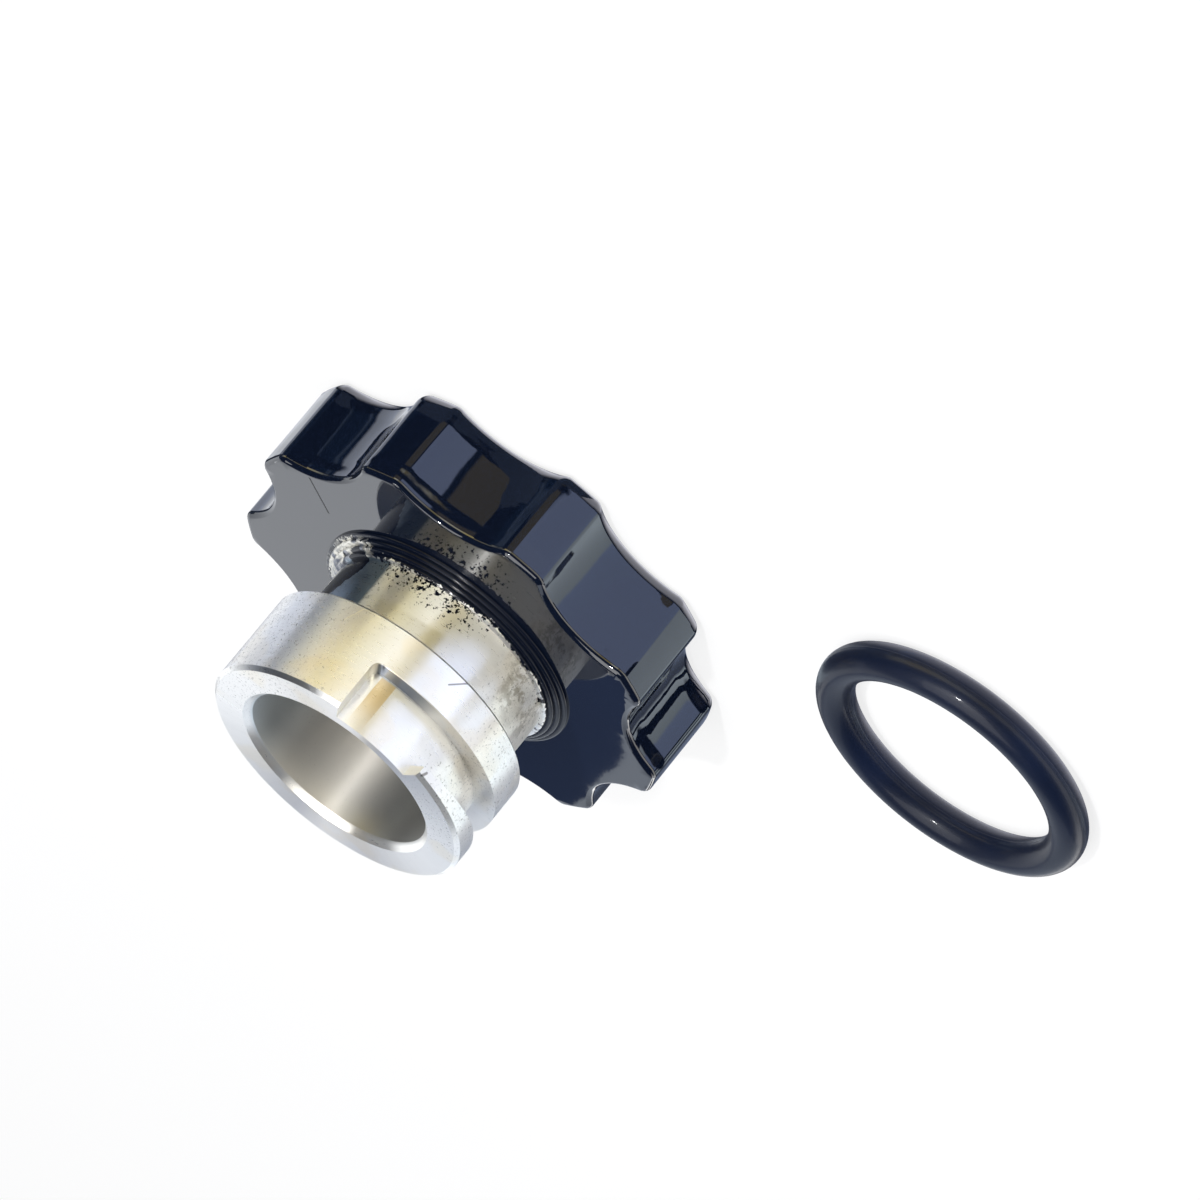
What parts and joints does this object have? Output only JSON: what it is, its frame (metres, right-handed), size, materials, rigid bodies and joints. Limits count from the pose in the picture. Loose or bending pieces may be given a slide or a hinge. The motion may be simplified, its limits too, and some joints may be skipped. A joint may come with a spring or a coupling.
{
  "type": "oil filler cap",
  "caption": "Twist-lock oil filler cap with a lobed head, a hollow neck with a J-slot and a loose O-ring beside it.",
  "frame": {"origin": "centre of the head's flat outer face, on which the cap stands", "axes": "+Z along the cap's axis from the head towards the open end of the neck; the loose ring lies towards -X"},
  "size_m": [0.1101, 0.0957, 0.0388],
  "materials": {
    "cap_metal": "gloss black coat on the head, bare machined aluminium on the neck and collar",
    "seal_rubber": "smooth satin moulded rubber"
  },
  "bodies": {
    "root": {"cap_body": "cap_metal", "seal_ring": "seal_rubber"}
  },
  "joints": []
}
